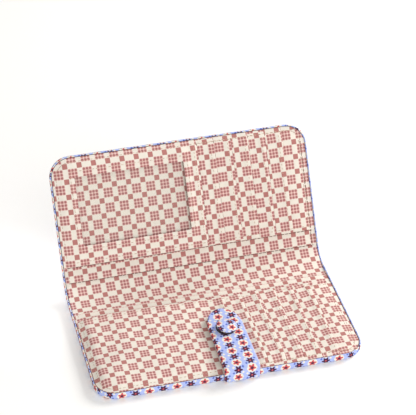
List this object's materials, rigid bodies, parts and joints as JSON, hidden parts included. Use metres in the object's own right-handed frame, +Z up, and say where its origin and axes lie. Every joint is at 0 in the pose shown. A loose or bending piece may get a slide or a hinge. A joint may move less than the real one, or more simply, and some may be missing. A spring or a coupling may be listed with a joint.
{
  "type": "wallet",
  "caption": "Padded fabric wallet, open: two panels on a spine, card slots, an ID window and a snap tab over the front edge.",
  "frame": {"origin": "middle of the lower panel's resting face", "axes": "+X along the wallet to the right, +Y from the lower panel's free edge towards the fold, +Z up from the table"},
  "size_m": [0.19, 0.166, 0.0926],
  "materials": {
    "printed_cotton": "matte printed cotton",
    "check_cotton": "matte printed check cotton",
    "batting": "soft white batting",
    "stiffening_board": "thin sheet",
    "clear_vinyl": "clear, glossy, soft",
    "snap_brass": "pressed and lacquered"
  },
  "bodies": {
    "lower_panel": {"lower_cover": "printed_cotton", "lower_padding": "batting", "lower_board": "stiffening_board", "lower_lining": "check_cotton", "lower_slip_pocket": "check_cotton", "lower_card_panel": "check_cotton", "lower_front_pocket": "check_cotton", "lower_card_slot_1": "check_cotton", "lower_card_slot_2": "check_cotton", "lower_card_slot_3": "check_cotton", "lower_card_slot_4": "check_cotton", "lower_card_slot_5": "check_cotton", "tab_anchor": "printed_cotton"},
    "spine": {"spine_cover": "printed_cotton", "spine_padding": "batting", "spine_lining": "check_cotton"},
    "upper_panel": {"upper_cover": "printed_cotton", "upper_padding": "batting", "upper_board": "stiffening_board", "upper_lining": "check_cotton", "upper_slip_pocket": "check_cotton", "upper_card_panel": "check_cotton", "id_window_panel": "check_cotton", "id_window_vinyl": "clear_vinyl", "upper_card_slot_1": "check_cotton", "upper_card_slot_2": "check_cotton", "upper_card_slot_3": "check_cotton", "upper_card_slot_4": "check_cotton", "upper_card_slot_5": "check_cotton", "upper_snap_stud": "snap_brass", "upper_snap_post": "snap_brass"},
    "tab_riser": {"tab_riser_outer": "printed_cotton", "tab_riser_lining": "check_cotton"},
    "tab_middle": {"tab_middle_outer": "printed_cotton", "tab_middle_lining": "check_cotton"},
    "tab_flap": {"tab_flap_outer": "printed_cotton", "tab_flap_interlining": "batting", "tab_flap_lining": "check_cotton", "tab_snap_cap": "printed_cotton", "tab_snap_socket": "snap_brass"}
  },
  "joints": [
    {"name": "lower_fold", "type": "hinge", "parent": "lower_panel", "child": "spine", "pos_m": [0, 0.0465, 0.0003], "axis": [1, 0, 0], "range_deg": [-20, 70]},
    {"name": "upper_fold", "type": "hinge", "parent": "spine", "child": "upper_panel", "pos_m": [0, 0.07093, 0.00919], "axis": [1, 0, 0], "range_deg": [-40, 50]},
    {"name": "tab_root_fold", "type": "hinge", "parent": "lower_panel", "child": "tab_riser", "pos_m": [0.0055, -0.0468, 0.0024], "axis": [1, 0, 0], "range_deg": [0, 90]},
    {"name": "tab_edge_fold", "type": "hinge", "parent": "tab_riser", "child": "tab_middle", "pos_m": [0.0055, -0.0468, 0.01078], "axis": [1, 0, 0], "range_deg": [0, 90]},
    {"name": "tab_flap_fold", "type": "hinge", "parent": "tab_middle", "child": "tab_flap", "pos_m": [0.0055, -0.02768, 0.01078], "axis": [1, 0, 0], "range_deg": [-90, 0]}
  ],
  "couplings": [
    {"joint": "tab_flap_fold", "follows": "tab_edge_fold", "ratio": -1}
  ]
}
